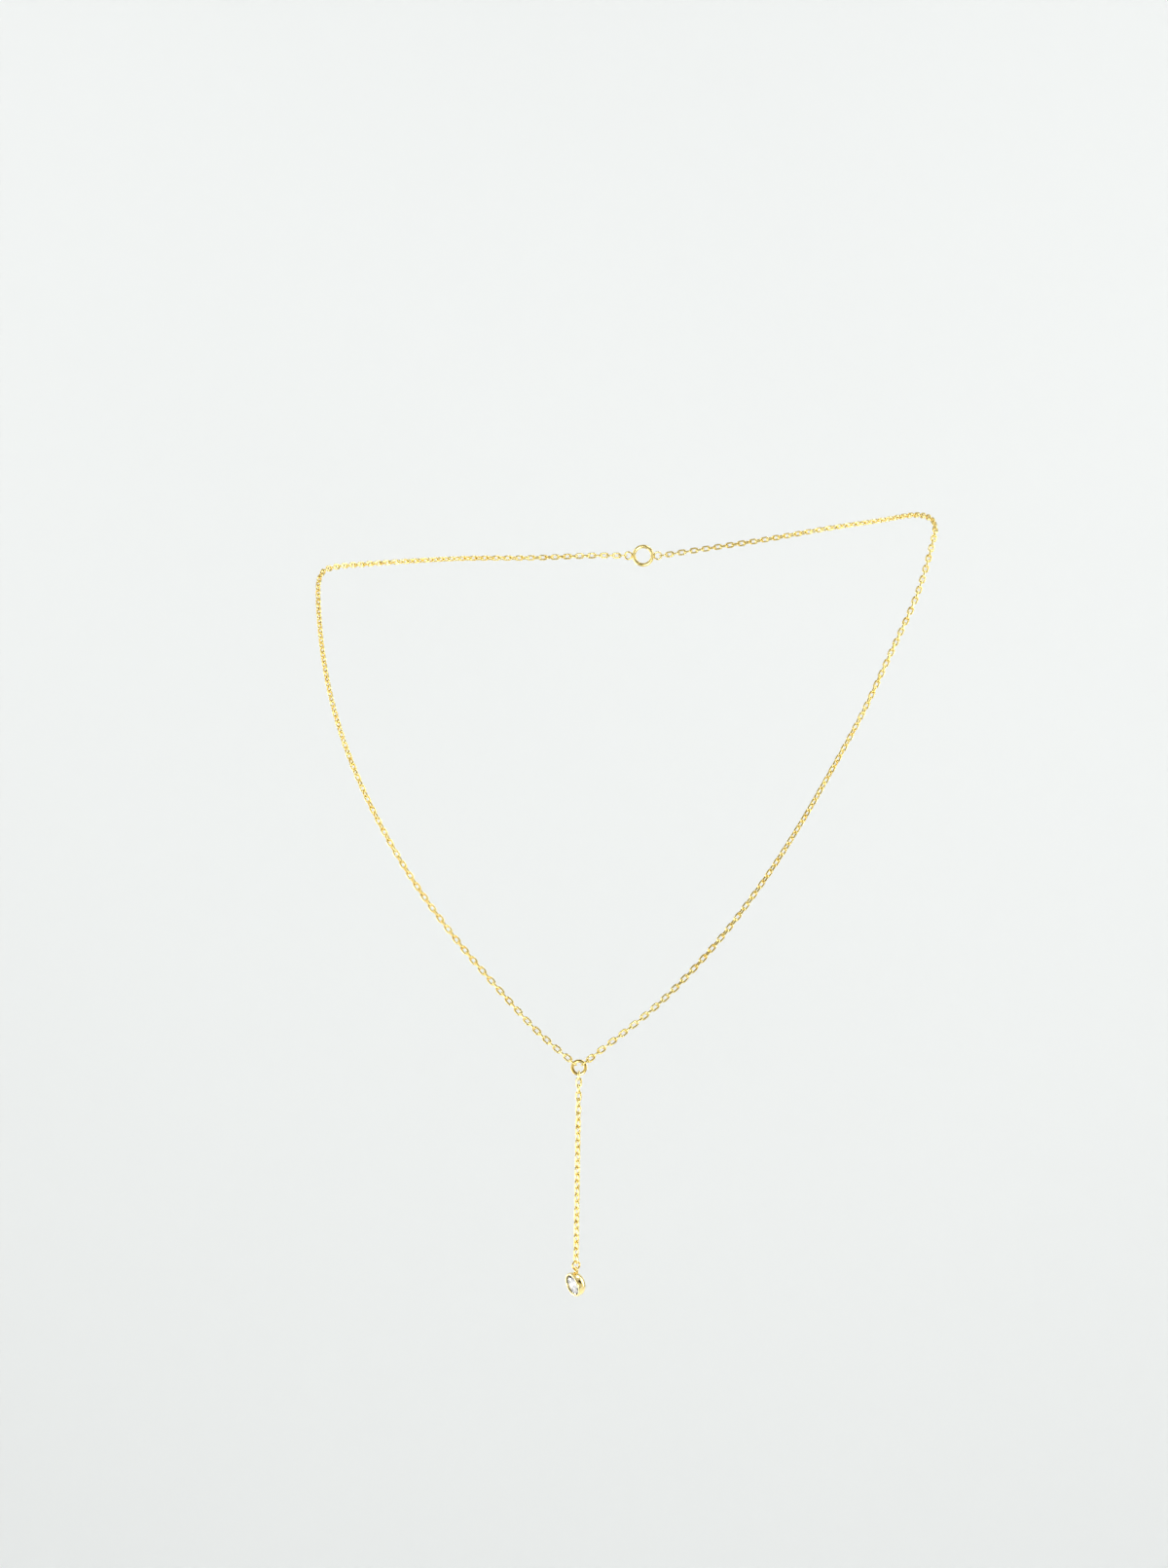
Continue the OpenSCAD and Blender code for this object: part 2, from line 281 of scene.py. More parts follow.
# Name, direction from the jewel, width and height in metres, and watts
JEWEL_PANELS = [("right_panel", (0.9, 0.33, 0.1), 0.45, 0.8, 2.6),
                ("top_panel", (0.42, 0.9, 0.0), 0.36, 0.36, 2.6),
                ("left_panel", (-0.86, -0.45, -0.2), 1.3, 1.2, 11),
                ("low_panel", (0.65, -0.72, -0.25), 2.2, 1.6, 6),
                ("front_panel", (0.05, -0.33, 0.94), 0.45, 0.45, 6.2)]
WALL_MIDDLE = Vector((-0.2, FLOOR_BACK_Y, -0.2))
# Name and place
WALL_PANELS = [("wall_panel_left", (-2.0, 0.5, 0.4)), ("wall_panel_right", (1.6, 0.5, 0.4))]
WALL_PANEL_W = 0.8
WALL_PANEL_H = 2.0
WALL_PANEL_WATTS = 23


def light_panel(name, place, aim, width, height, watts):
    """A rectangular area light at a place, turned so that it faces its aim."""
    bpy.ops.object.light_add(type="AREA", location=place)
    panel = bpy.context.object
    panel.name = name
    panel.rotation_euler = (aim - Vector(place)).to_track_quat("-Z", "Y").to_euler()
    panel.data.shape = "RECTANGLE"
    panel.data.size = width
    panel.data.size_y = height
    panel.data.energy = watts
    return panel


def seen_from_jewel(right, up, front):
    """A direction from the jewel, given along the camera's own axes."""
    return (right * look_right + up * look_up - front * look_ahead).normalized()


for name, place in WALL_PANELS:
    light_panel(name, place, WALL_MIDDLE, WALL_PANEL_W, WALL_PANEL_H, WALL_PANEL_WATTS)
for name, toward, width, height, watts in JEWEL_PANELS:
    place = JEWEL + PANEL_DISTANCE * seen_from_jewel(*toward)
    light_panel(name, place, JEWEL, width, height, watts)

# %% [markdown]
# ## The room
# Between the panels the room is as pale as the paper. Polished gold in an evenly pale room looks
# like yellow paint. A photographer holds up black cards to mend that, and cards could be
# modelled too, but then they would have to be hidden from the camera. Soft dark gaps in the air
# itself do the same. Two small ones on the right give the bezel its dark spot. Three wider ones,
# high in front and on the left, give the wires their brown edges and the stone its grey facets.
# The camera itself sees plain pale air, in case it ever looks past the paper.

# %% Air of the room
# How bright the air is to the jewel and to the camera, and the share of it left in a dark gap
AIR_GLOW = 0.95
AIR_SEEN = 0.84
GAP_SHARE = 0.05
# Direction from the jewel, and the degrees to which a gap is fully dark and to which it fades
DARK_GAPS = [((0.76, 0.48, 0.42), 6, 18),
             ((0.87, 0.27, 0.40), 3, 14),
             ((0.10, 0.50, 0.86), 16, 33),
             ((-0.60, 0.58, 0.55), 9, 25),
             ((-0.55, -0.60, 0.55), 10, 24)]

world = bpy.data.worlds.new("studio_air")
world.use_nodes = True
bpy.context.scene.world = world
tree = world.node_tree
tree.nodes.clear()
direction = add_node(tree, "ShaderNodeTexCoord").outputs["Generated"]


def dark_gap(toward, core, edge):
    """A round part of the room that is dark out to core degrees and fades out at edge degrees."""
    nearness = add_node(tree, "ShaderNodeVectorMath", operation="DOT_PRODUCT",
                        values=[(1, toward)], links=[(0, direction)])
    share = add_node(tree, "ShaderNodeMapRange", interpolation_type="SMOOTHSTEP",
                     links=[("Value", nearness.outputs["Value"])],
                     values=[("From Min", math.cos(math.radians(edge))),
                             ("From Max", math.cos(math.radians(core))),
                             ("To Min", 1.0), ("To Max", GAP_SHARE)])
    return share.outputs["Result"]


room = add_node(tree, "ShaderNodeValue").outputs["Value"]
room.default_value = AIR_GLOW
for toward, core, edge in DARK_GAPS:
    gap = dark_gap(seen_from_jewel(*toward), core, edge)
    room = add_node(tree, "ShaderNodeMath", operation="MULTIPLY",
                    links=[(0, room), (1, gap)]).outputs["Value"]
ray = add_node(tree, "ShaderNodeLightPath")
air = add_node(tree, "ShaderNodeMix", data_type="FLOAT", values=[("B", AIR_SEEN)],
               links=[("Factor", ray.outputs["Is Camera Ray"]), ("A", room)])
glow = add_node(tree, "ShaderNodeBackground", links=[("Strength", air.outputs["Result"])])
add_node(tree, "ShaderNodeOutputWorld", links=[("Surface", glow.outputs["Background"])])
bpy.context.scene.view_settings.view_transform = "Standard"
print("room:", len(DARK_GAPS), "dark gaps,", len(tree.nodes), "nodes")

# %% [markdown]
# ## Gold plate
# The metal is brass with a thin plating of yellow gold, tumbled until it shines. What one sees
# is mostly the room mirrored in a warm yellow. A picture of metal could be wrapped round each
# piece, but nodes stay sharp at any distance and need no unwrapping. Two soft noises keep the
# gold from looking like paint: one, a little wider than a link, drifts between a lighter and a
# deeper gold, and a finer one gives the shine small changes that polishing leaves. Real
# polishing marks are a few micrometres wide, so they are drawn coarser here, just wide enough
# to show. The rings have a slightly deeper gold than the chain, and the cast bezel a paler one.
# The clasp, which fingers open and close, is a little duller.

# %% Gold plate
WIRE_GOLD = ("#F1D680", "#F9E7A3")
RING_GOLD = ("#F0CC6C", "#F8DF90")
CAST_GOLD = ("#F0D78A", "#F8E7AC")
# A noise seldom leaves the middle of its range, so the golds and roughnesses are spread over that
GOLD_ENDS = (0.35, 0.65)
SHINE_ENDS = (0.3, 0.7)


def gold_plate(name, golds, drift, polish, smooth, dull, relief):
    """Polished gold plate, with its shine between two roughnesses, smooth and dull.

    drift is how wide the patches of one gold are, polish how wide the marks that polishing
    leaves, and relief how high.
    """
    material, tree, shader = new_material(name)
    place = add_node(tree, "ShaderNodeTexCoord").outputs["Object"]
    clouds = add_node(tree, "ShaderNodeTexNoise", links=[("Vector", place)],
                      values=[("Scale", 1 / drift), ("Detail", 2.0), ("Roughness", 0.5)])
    tone = add_node(tree, "ShaderNodeValToRGB", links=[("Fac", clouds.outputs["Fac"])])
    for element, position, gold in zip(tone.color_ramp.elements, GOLD_ENDS, golds):
        element.position = position
        element.color = colour(gold)
    marks = add_node(tree, "ShaderNodeTexNoise", links=[("Vector", place)],
                     values=[("Scale", 1 / polish), ("Detail", 3.0), ("Roughness", 0.6)])
    shine = add_node(tree, "ShaderNodeMapRange", links=[("Value", marks.outputs["Fac"])],
                     values=[("From Min", SHINE_ENDS[0]), ("From Max", SHINE_ENDS[1]),
                             ("To Min", smooth), ("To Max", dull)])
    grain = add_node(tree, "ShaderNodeBump", links=[("Height", marks.outputs["Fac"])],
                     values=[("Strength", 0.5), ("Distance", relief)])
    tree.links.new(tone.outputs["Color"], shader.inputs["Base Color"])
    tree.links.new(shine.outputs["Result"], shader.inputs["Roughness"])
    tree.links.new(grain.outputs["Normal"], shader.inputs["Normal"])
    shader.inputs["Metallic"].default_value = 1.0
    return material


chain_gold = gold_plate("gold_plated_chain_wire", WIRE_GOLD, drift=2.2 * MM, polish=0.12 * MM,
                        smooth=0.06, dull=0.13, relief=0.002 * MM)
ring_gold = gold_plate("gold_plated_ring_wire", RING_GOLD, drift=1.6 * MM, polish=0.12 * MM,
                       smooth=0.05, dull=0.12, relief=0.002 * MM)
setting_gold = gold_plate("gold_plated_casting", CAST_GOLD, drift=1.8 * MM, polish=0.2 * MM,
                          smooth=0.07, dull=0.14, relief=0.004 * MM)
clasp_gold = gold_plate("gold_plated_clasp", WIRE_GOLD, drift=2.5 * MM, polish=0.2 * MM,
                        smooth=0.1, dull=0.2, relief=0.004 * MM)
print("gold finishes:", chain_gold.name, ring_gold.name, setting_gold.name, clasp_gold.name)

# %% [markdown]
# ## One link
# A cable link is round wire bent round an oval rod and closed. A curve with a round bevel would
# give nearly the same shape. But there are hundreds of links, each may only have a few dozen
# faces, and this way it is plain where every one of them goes: a small circle, the wire's
# section, is drawn out along one straight side, spun half a turn, drawn back along the other
# side and spun again until it meets its own start. The wire has six sides and each bend six
# steps. A six-sided wire looks thinner than a round one, so its corners stand out by a
# twentieth. The solids' wire is 0.38 mm, because loose solids need room between them. Real
# links touch and look sturdier, so the wire here is 0.42 mm, in a link of the same length and
# width, and each link almost touches the next.

# %% Sizes of the link
LINK_LEN = 2.44 * MM
LINK_W = 1.48 * MM
WIRE_D = 0.42 * MM
WIRE_SIDES = 6
BEND_STEPS = 6
CORNERS_OUT = 1.05

half_straight = (LINK_LEN - LINK_W) / 2
bend_r = (LINK_W - WIRE_D) / 2
corner_r = CORNERS_OUT * WIRE_D / 2
print(f"a link's straight sides are {2 * half_straight / MM:.2f} mm long")

# %% Close and measure a piece
TOUCHING = 0.0005 * MM


def measure(piece):
    """Prints how big a finished piece is, how many faces it has and whether it is closed."""
    mesh = bmesh.new()
    mesh.from_mesh(piece.data)
    open_edges = sum(not edge.is_manifold for edge in mesh.edges)
    volume = mesh.calc_volume(signed=True) / MM**3
    size = " x ".join(f"{side / MM:.2f}" for side in piece.dimensions)
    print(f"{piece.name}: {size} mm, {len(mesh.faces)} faces, {open_edges} open edges, "
          f"{volume:.2f} mm3")
    mesh.free()


def close_shape():
    """Merges the doubles of the open piece and turns its faces outwards."""
    bpy.ops.mesh.select_all(action="SELECT")
    bpy.ops.mesh.remove_doubles(threshold=TOUCHING)
    bpy.ops.mesh.normals_make_consistent(inside=False)
    close_piece()


print(f"points within {TOUCHING / MM * 1000:.1f} micrometres of each other become one")

# %% Model the link
start_fresh()
bpy.ops.mesh.primitive_circle_add(vertices=WIRE_SIDES, radius=corner_r, fill_type="NOTHING",
                                  location=(-half_straight, bend_r, 0),
                                  rotation=(0, math.pi / 2, 0))
link = bpy.context.object
link.name = "one_link"
bpy.ops.object.transform_apply(location=True, rotation=True, scale=True)
open_piece(link)
bpy.ops.mesh.select_all(action="SELECT")
for end in (1, -1):
    side_run = (2 * end * half_straight, 0, 0)
    bpy.ops.mesh.extrude_region_move(TRANSFORM_OT_translate={"value": side_run})
    bpy.ops.mesh.spin(steps=BEND_STEPS, angle=math.pi, center=(end * half_straight, 0, 0),
                      axis=(0, 0, 1))
close_shape()
bpy.ops.object.shade_smooth()
measure(link)

# %% [markdown]
# ## Where the chain runs
# Each strand leaves the middle ring, crosses the collarbone and the shoulder, and meets the
# other at the nape. A simulated chain would find such a way by itself, but never quite the one
# in the photograph. So its way is a smooth curve through listed points, the same ones
# that the solids were made from, and one walks along it one pitch at a time.

# %% Points of the way
# The middles of the middle ring and of the clasp, and in mm the points between them
CENTRE = Vector((-6, -62, -116)) * MM
NAPE = Vector((0, 52, -2.5)) * MM
LEFT_ROUTE = [(11.5, -59, -102), (24, -55, -89), (34, -50.5, -76), (42.5, -44.5, -63),
              (50, -37.5, -50), (57, -29, -37), (63, -20, -24), (69, -10.5, -10.5),
              (72.5, -1.5, 1.5), (73, 3.5, 5.5), (71.5, 8.5, 7.5), (67.5, 16, 8), (59, 27.5, 6.5),
              (46.5, 38.5, 4.5), (30, 47, 1.5), (14, 51, -1)]
RIGHT_ROUTE = [(-15, -61, -108.5), (-21.5, -59.5, -102), (-33.5, -56.5, -89), (-44, -52.5, -76),
               (-52.5, -47, -63.5), (-60, -39.5, -50.5), (-66, -30, -37.5), (-70.5, -18, -24.5),
               (-73.5, -5, -11), (-73.5, 1, -6), (-71, 6.5, -4.5), (-65, 16, -4), (-56, 28, -3.5),
               (-43, 39, -3), (-27, 47.5, -3), (-13, 51, -2.5)]
print(f"ways: {len(LEFT_ROUTE)} and {len(RIGHT_ROUTE)} points chosen by hand")

# %% Curves
SPAN_STEPS = 12


def smooth_curve(knots):
    """Points of a smooth curve through the knots, with each end carried on straight."""
    p = [2 * knots[0] - knots[1], *knots, 2 * knots[-1] - knots[-2]]
    points = []
    for a, b, c, d in zip(p, p[1:], p[2:], p[3:]):
        for step in range(SPAN_STEPS):
            t = step / SPAN_STEPS
            points.append(0.5 * (2 * b + (c - a) * t + (2 * a - 5 * b + 4 * c - d) * t * t
                                 + (3 * b - a - 3 * c + d) * t ** 3))
    return [*points, knots[-1]]


def walk(points, start, pitch, count):
    """The places start, start + pitch and so on along a curve, count + 1 of them."""
    places, gone, i = [], 0.0, 0
    for k in range(count + 1):
        wanted = start + k * pitch
        while i < len(points) - 2 and gone + (points[i + 1] - points[i]).length < wanted:
            gone += (points[i + 1] - points[i]).length
            i += 1
        span = points[i + 1] - points[i]
        places.append(points[i] + span * min((wanted - gone) / span.length, 1.0))
    return places


def curve_length(points):
    """How long a curve is from its first point to its last."""
    return sum((b - a).length for a, b in zip(points, points[1:]))


print(f"between two of them the curve takes {SPAN_STEPS} steps")

# %% [markdown]
# ## Where a strand begins and ends
# The first link is hooked into the middle ring, and the last one into an eye of the clasp. Their
# places could be typed in, but then they would be wrong as soon as a ring changed. So both ends
# follow from the sizes of those rings, and from the small gap that the solids leave between two
# wires that hook into each other.

# %% Ends of the strands
CENTRE_RING_D = 3.7 * MM
CENTRE_WIRE_W = 0.74 * MM
CENTRE_RING_TILT = math.radians(8)
CLASP_D = 5.5 * MM
EYE_D = 2.2 * MM
EYE_WIRE_D = 0.4 * MM
SOLDER = 0.15 * MM
HOOK_GAP = 0.13 * MM

ring_out = Vector((0, -math.cos(CENTRE_RING_TILT), math.sin(CENTRE_RING_TILT)))
ring_up = Vector((0, math.sin(CENTRE_RING_TILT), math.cos(CENTRE_RING_TILT)))
centre_r = (CENTRE_RING_D - CENTRE_WIRE_W) / 2
eye_x = (CLASP_D + EYE_D) / 2 - SOLDER


def across(vector, along):
    """The part of a vector that is square to another, with length one."""
    return (vector - vector.project(along)).normalized()


def hook_depth(ring_wire):
    """How far inside the middle of a ring's wire the first link's meeting point lies."""
    return (HOOK_GAP + ring_wire) / 2


def strand_curve(route, side):
    """The whole way of a strand, and the direction in which it leaves the middle ring."""
    knots = [Vector(knot) * MM for knot in route]
    leaves = across(knots[0] - CENTRE, ring_out)
    first = CENTRE + (centre_r - hook_depth(CENTRE_WIRE_W)) * leaves
    last_x = eye_x + (EYE_D - EYE_WIRE_D) / 2 - hook_depth(EYE_WIRE_D)
    return smooth_curve([first, *knots, NAPE + Vector((side * last_x, 0, 0))]), leaves


left_curve, left_leaves = strand_curve(LEFT_ROUTE, 1)
right_curve, right_leaves = strand_curve(RIGHT_ROUTE, -1)
print(f"strands: {curve_length(left_curve) / MM:.1f} and {curve_length(right_curve) / MM:.1f} mm")

# %% [markdown]
# ## Laying the links
# Between two meeting points lies one link. Its long side follows the chain and its flat face
# looks square to it. The next face is the last one carried on and turned by a quarter turn, as
# on every cable chain, plus a small twist as long as the chain is wound up. Array and Curve
# modifiers are the quick way to make a chain, but the curve would bend every link a little, and
# the places of the solids' links have to be met. So each link is turned and placed by itself.

# %% Turn the links
LINK_PITCH = 1.55 * MM


def turned(face, run, angle):
    """A face's direction made square to a run and then turned about it."""
    level = across(face, run)
    return level * math.cos(angle) + run.cross(level) * math.sin(angle)


def lay_faces(places, first_face, twist, wound):
    """For each link, the direction it runs in and the one that its flat face looks in."""
    along = [(b - a).normalized() for a, b in zip(places, places[1:])]
    faces = [across(first_face, along[0])]
    for k, run in enumerate(along[1:]):
        faces.append(turned(faces[-1], run, math.pi / 2 + (twist if k < wound else 0)))
    return along, faces


_, (this_face, next_face) = lay_faces(walk(left_curve, 0, LINK_PITCH, 2), ring_out, 0.0, 0)
print(f"from one link to the next: {math.degrees(this_face.angle(next_face)):.1f} degrees")

# %% [markdown]
# ## Joining them into a chain
# Links of a real chain hang loosely in one another. Here they keep the form that the chain is
# worn in, so they could share one mesh and each be an object of its own. But a strand is one
# piece of the necklace, so every link is a copy of the first one with its own mesh, and the
# copies of a strand are joined.

# %% Place and join links


def stand(piece, middle, along, face):
    """Puts a piece modelled at the origin in its place, which then is in its mesh."""
    side = face.cross(along)
    turn = Matrix((along, side, face)).transposed().to_4x4()
    piece.data.transform(Matrix.Translation(middle) @ turn)


def twin(piece):
    """A copy of a piece with a mesh of its own."""
    copy = piece.copy()
    copy.data = piece.data.copy()
    bpy.context.collection.objects.link(copy)
    return copy


def lay_chain(name, places, first_face, twist, wound):
    """Joins a chain of links along their meeting places, and returns it and its last face."""
    along, faces = lay_faces(places, first_face, twist, wound)
    start_fresh()
    for a, b, run, face in zip(places, places[1:], along, faces):
        copy = twin(link)
        stand(copy, (a + b) / 2, run, face)
        copy.select_set(True)
    bpy.context.view_layer.objects.active = copy
    bpy.ops.object.join()
    chain = bpy.context.object
    chain.name = name
    chain.data.name = name
    chain.data.materials.append(chain_gold)
    measure(chain)
    return chain, (along[-1], faces[-1])


# %% [markdown]
# ## The two strands that show
# These are the 109 and 100 links in front of the shoulders. They could be left unwound, and then
# every other link would look broad and the rest narrow, all the way. The real chain is slightly
# wound up, and so are both strands here. Near the middle ring every other link faces the camera
# and shows its hole. Further up they all stand half turned, so the chain looks denser, and the
# left one opens again near the shoulder.

# %% The strands in front
LEFT_LINKS = 109
RIGHT_LINKS = 100
LEFT_TWIST = math.radians(0.9)
RIGHT_TWIST = math.radians(0.8)

left_places = walk(left_curve, 0, LINK_PITCH, LEFT_LINKS)
left_strand, left_last = lay_chain("left_strand_links", left_places,
                                   ring_out.cross(left_leaves), LEFT_TWIST, LEFT_LINKS)
right_places = walk(right_curve, 0, LINK_PITCH, RIGHT_LINKS)
right_strand, right_last = lay_chain("right_strand_links", right_places,
                                     ring_out.cross(right_leaves), RIGHT_TWIST, RIGHT_LINKS)

# %% [markdown]
# ## The two stretches behind the neck
# The rest of each strand runs to the clasp. The solids have a plain tube there, and it could
# stay one, since the photograph hides it. But from behind it would look like a cord, so it gets
# links as well. The pitch is made a few thousandths of a millimetre longer or shorter, so that a
# whole number of links fits. The last link has to stand square to the eye that it hooks into,
# so the small turn that is left over is shared among them all.

# %% The strands behind
UP = Vector((0, 0, 1))


def lay_back(name, curve, links, last, twist):
    """Carries a strand on from its last front link to the clasp's eye."""
    gone = links * LINK_PITCH
    left = curve_length(curve) - gone
    count = round(left / LINK_PITCH)
    places = walk(curve, gone, left / count, count)
    last_along, last_face = last
    first_along = (places[1] - places[0]).normalized()
    first_face = turned(last_face, first_along, math.pi / 2 + twist)
    along, faces = lay_faces(places, first_face, 0.0, 0)
    off = math.atan2(faces[-1].cross(UP).dot(along[-1]), faces[-1].dot(UP))
    off = (off + math.pi / 2) % math.pi - math.pi / 2
    print(f"{name}: {count} links at {left / count / MM:.4f} mm, "
          f"{math.degrees(off):.0f} degrees shared")
    return lay_chain(name, places, first_face, off / (count - 1), count)[0]


left_back = lay_back("left_back_links", left_curve, LEFT_LINKS, left_last, LEFT_TWIST)
right_back = lay_back("right_back_links", right_curve, RIGHT_LINKS, right_last, RIGHT_TWIST)

# %% [markdown]
# ## The drop
# Twenty-eight more links hang from the ring. It could be one more curve, but a chain with a
# weight on it hangs straight, so a line is enough. Its foot is 0.65 mm further to the wearer's
# right than its top. The first eight links are wound up until all stand half turned, and the
# rest hang like that.

# %% The drop chain
SIDEWAYS = Vector((1, 0, 0))
FOOT_X = -6.65 * MM
DROP_LINKS = 28
DROP_WOUND = 8
DROP_TWIST = math.radians(5.25)

drop_lean = math.asin((FOOT_X - CENTRE.x) / (DROP_LINKS * LINK_PITCH))
drop_down = Vector((math.sin(drop_lean), 0, -math.cos(drop_lean)))
drop_top = CENTRE - centre_r * ring_up - hook_depth(CENTRE_WIRE_W) * drop_down
drop_places = [drop_top + k * LINK_PITCH * drop_down for k in range(DROP_LINKS + 1)]
drop, _ = lay_chain("drop_links", drop_places, SIDEWAYS, DROP_TWIST, DROP_WOUND)
bpy.data.objects.remove(link)

# %% [markdown]
# ## Rings of wire
# A ring of this kind is wire wound once round a rod, cut and soldered shut. A torus would do for
# a plain one. But one of them is hammered flat, so they are all wound from the wire's section:
# a circle beside the axis, pressed to an oval where the ring is hammered, that Spin carries
# once round. The solder leaves the joint a hair thicker, so the wire swells a little there.

# %% Wind a ring
RING_SECTION_SIDES = 20
RING_STEPS = 72
# How much thicker the joint is, and how far round the ring it reaches
SEAM_SWELL = 0.04
SEAM_REACH = math.radians(14)


def wind_ring(name, diameter, width, seam_at, thickness=None):
    """A closed ring of wire, round or pressed to a thickness, with its joint at seam_at."""
    middle_r = (diameter - width) / 2
    start_fresh()
    bpy.ops.mesh.primitive_circle_add(vertices=RING_SECTION_SIDES, radius=width / 2,
                                      fill_type="NOTHING", location=(middle_r, 0, 0),
                                      rotation=(math.pi / 2, 0, 0))
    ring = bpy.context.object
    ring.name = name
    bpy.ops.object.transform_apply(location=True, rotation=True, scale=True)
    open_piece(ring)
    bpy.ops.mesh.select_all(action="SELECT")
    bpy.ops.transform.resize(value=(1, 1, (thickness or width) / width))
    bpy.ops.mesh.spin(steps=RING_STEPS, angle=2 * math.pi, center=(0, 0, 0), axis=(0, 0, 1))
    close_shape()
    for vertex in ring.data.vertices:
        angle = math.atan2(vertex.co.y, vertex.co.x) - seam_at
        angle = (angle + math.pi) % (2 * math.pi) - math.pi
        core = Vector((vertex.co.x, vertex.co.y, 0)).normalized() * middle_r
        swell = 1 + SEAM_SWELL * math.exp(-((angle / SEAM_REACH) ** 2))
        vertex.co = core + (vertex.co - core) * swell
    bpy.ops.object.shade_smooth()
    return ring


print(f"a ring has {RING_SECTION_SIDES * RING_STEPS} faces")

# %% [markdown]
# ## The middle ring
# This ring joins the strands and the drop. It lies against the wearer, so it is hammered flat
# and leans back a little. It could be modelled where it hangs, but it is wound at the origin,
# where no axis is slanted, and then stood in its place.

# %% The middle ring
CENTRE_WIRE_T = 0.42 * MM
CENTRE_SEAM = math.radians(200)

centre_ring = wind_ring("centre_ring_wire", CENTRE_RING_D, CENTRE_WIRE_W, CENTRE_SEAM,
                        CENTRE_WIRE_T)
stand(centre_ring, CENTRE, SIDEWAYS, ring_out)
centre_ring.data.materials.append(ring_gold)
measure(centre_ring)

# %% [markdown]
# ## The jump ring
# A small ring of round wire hangs in the last link and carries the setting. The setting could
# hang in the last link itself, but the photograph shows a ring there. It hangs upright and
# stands nearly square both to the link above it and to the setting's loop below it, as the
# links of a chain do to each other.

# %% The jump ring at the foot of the drop
PENDANT_RING_D = 2.3 * MM
PENDANT_WIRE_D = 0.4 * MM
PENDANT_RING_TURN = math.radians(40)
PENDANT_SEAM = math.radians(10)

pendant_r = (PENDANT_RING_D - PENDANT_WIRE_D) / 2
pendant_ring_middle = drop_places[-1] - hook_depth(PENDANT_WIRE_D) * drop_down - pendant_r * UP
pendant_ring_side = Vector((math.cos(PENDANT_RING_TURN), math.sin(PENDANT_RING_TURN), 0))
pendant_ring = wind_ring("pendant_jump_ring", PENDANT_RING_D, PENDANT_WIRE_D, PENDANT_SEAM)
stand(pendant_ring, pendant_ring_middle, pendant_ring_side, pendant_ring_side.cross(UP))
pendant_ring.data.materials.append(ring_gold)
measure(pendant_ring)

# %% [markdown]
# ## The bezel
# The setting is a short round cup, cast in one and polished. Its rim is rolled over the edge of
# the stone, and its back is rounded and left open, so that light comes through. A profile could
# be spun into a cup as the rings are. Starting from a cylinder shows better what is what: the
# top is inset and pushed down in steps to make the stone's seat, the bottom is inset for the
# opening, and the two are bridged. Bevels then round the rim and the back.

# %% Sizes of the bezel
STONE_D = 4.8 * MM
GIRDLE_Z = 0.92 * MM        # the stone's edge, above the middle of the bezel's depth
GIRDLE_H = 0.1 * MM         # how thick that edge is
STONE_GAP = 0.06 * MM       # the room round it
RIM_W = 0.44 * MM
RIM_LAP = 0.05 * MM         # how far the rim reaches over the stone
BEZEL_DEPTH = 2.6 * MM
BACK_ROUND = 1.7 * MM       # the radius of the rounded back
BACK_HOLE_R = 0.9 * MM      # the radius of the opening in it
BACK_FLOOR = 0.3 * MM       # the wall's thickness at the opening

stone_r = STONE_D / 2
rim_inner_r = stone_r - RIM_LAP
bezel_r = rim_inner_r + RIM_W
half_depth = BEZEL_DEPTH / 2
rim_round = RIM_W / 2
seat_r = stone_r + STONE_GAP
seat_top = GIRDLE_Z + GIRDLE_H / 2 + STONE_GAP
seat_bottom = GIRDLE_Z - GIRDLE_H / 2 - STONE_GAP
floor_z = -half_depth + BACK_FLOOR
print(f"bezel: {2 * bezel_r / MM:.2f} mm across, {BEZEL_DEPTH / MM:.1f} mm deep")

# %% Find faces and edges by their place
SAME_HEIGHT = 0.001 * MM
SAME_RADIUS = 0.01 * MM


def flat_at(z, radius):
    """Finds the one flat cap at a height whose corners lie at a radius."""
    def wanted(face):
        centre = face.calc_center_median()
        return (abs(centre.z - z) < SAME_HEIGHT and centre.xy.length < SAME_HEIGHT
                and abs(face.verts[0].co.xy.length - radius) < SAME_RADIUS)
    return wanted


def ring_at(z, radius):
    """Finds the edges that run round at one height and radius."""
    def wanted(edge):
        return all(abs(v.co.z - z) < SAME_HEIGHT and abs(v.co.xy.length - radius) < SAME_RADIUS
                   for v in edge.verts)
    return wanted


def either(first, second):
    """Finds what one or the other test finds."""
    return lambda part: first(part) or second(part)


print(f"two heights are the same within {SAME_HEIGHT / MM:.3f} mm, "
      f"two radii within {SAME_RADIUS / MM:.2f} mm")

# %% Model the bezel
BEZEL_STEPS = 96
RIM_SEGMENTS = 5
BACK_SEGMENTS = 8


def step_in(radius_from, radius_to, drop):
    """Pushes the selected cap down and makes it wider or narrower."""
    bpy.ops.mesh.extrude_region_move(TRANSFORM_OT_translate={"value": (0, 0, drop)})
    ratio = radius_to / radius_from
    bpy.ops.transform.resize(value=(ratio, ratio, 1))


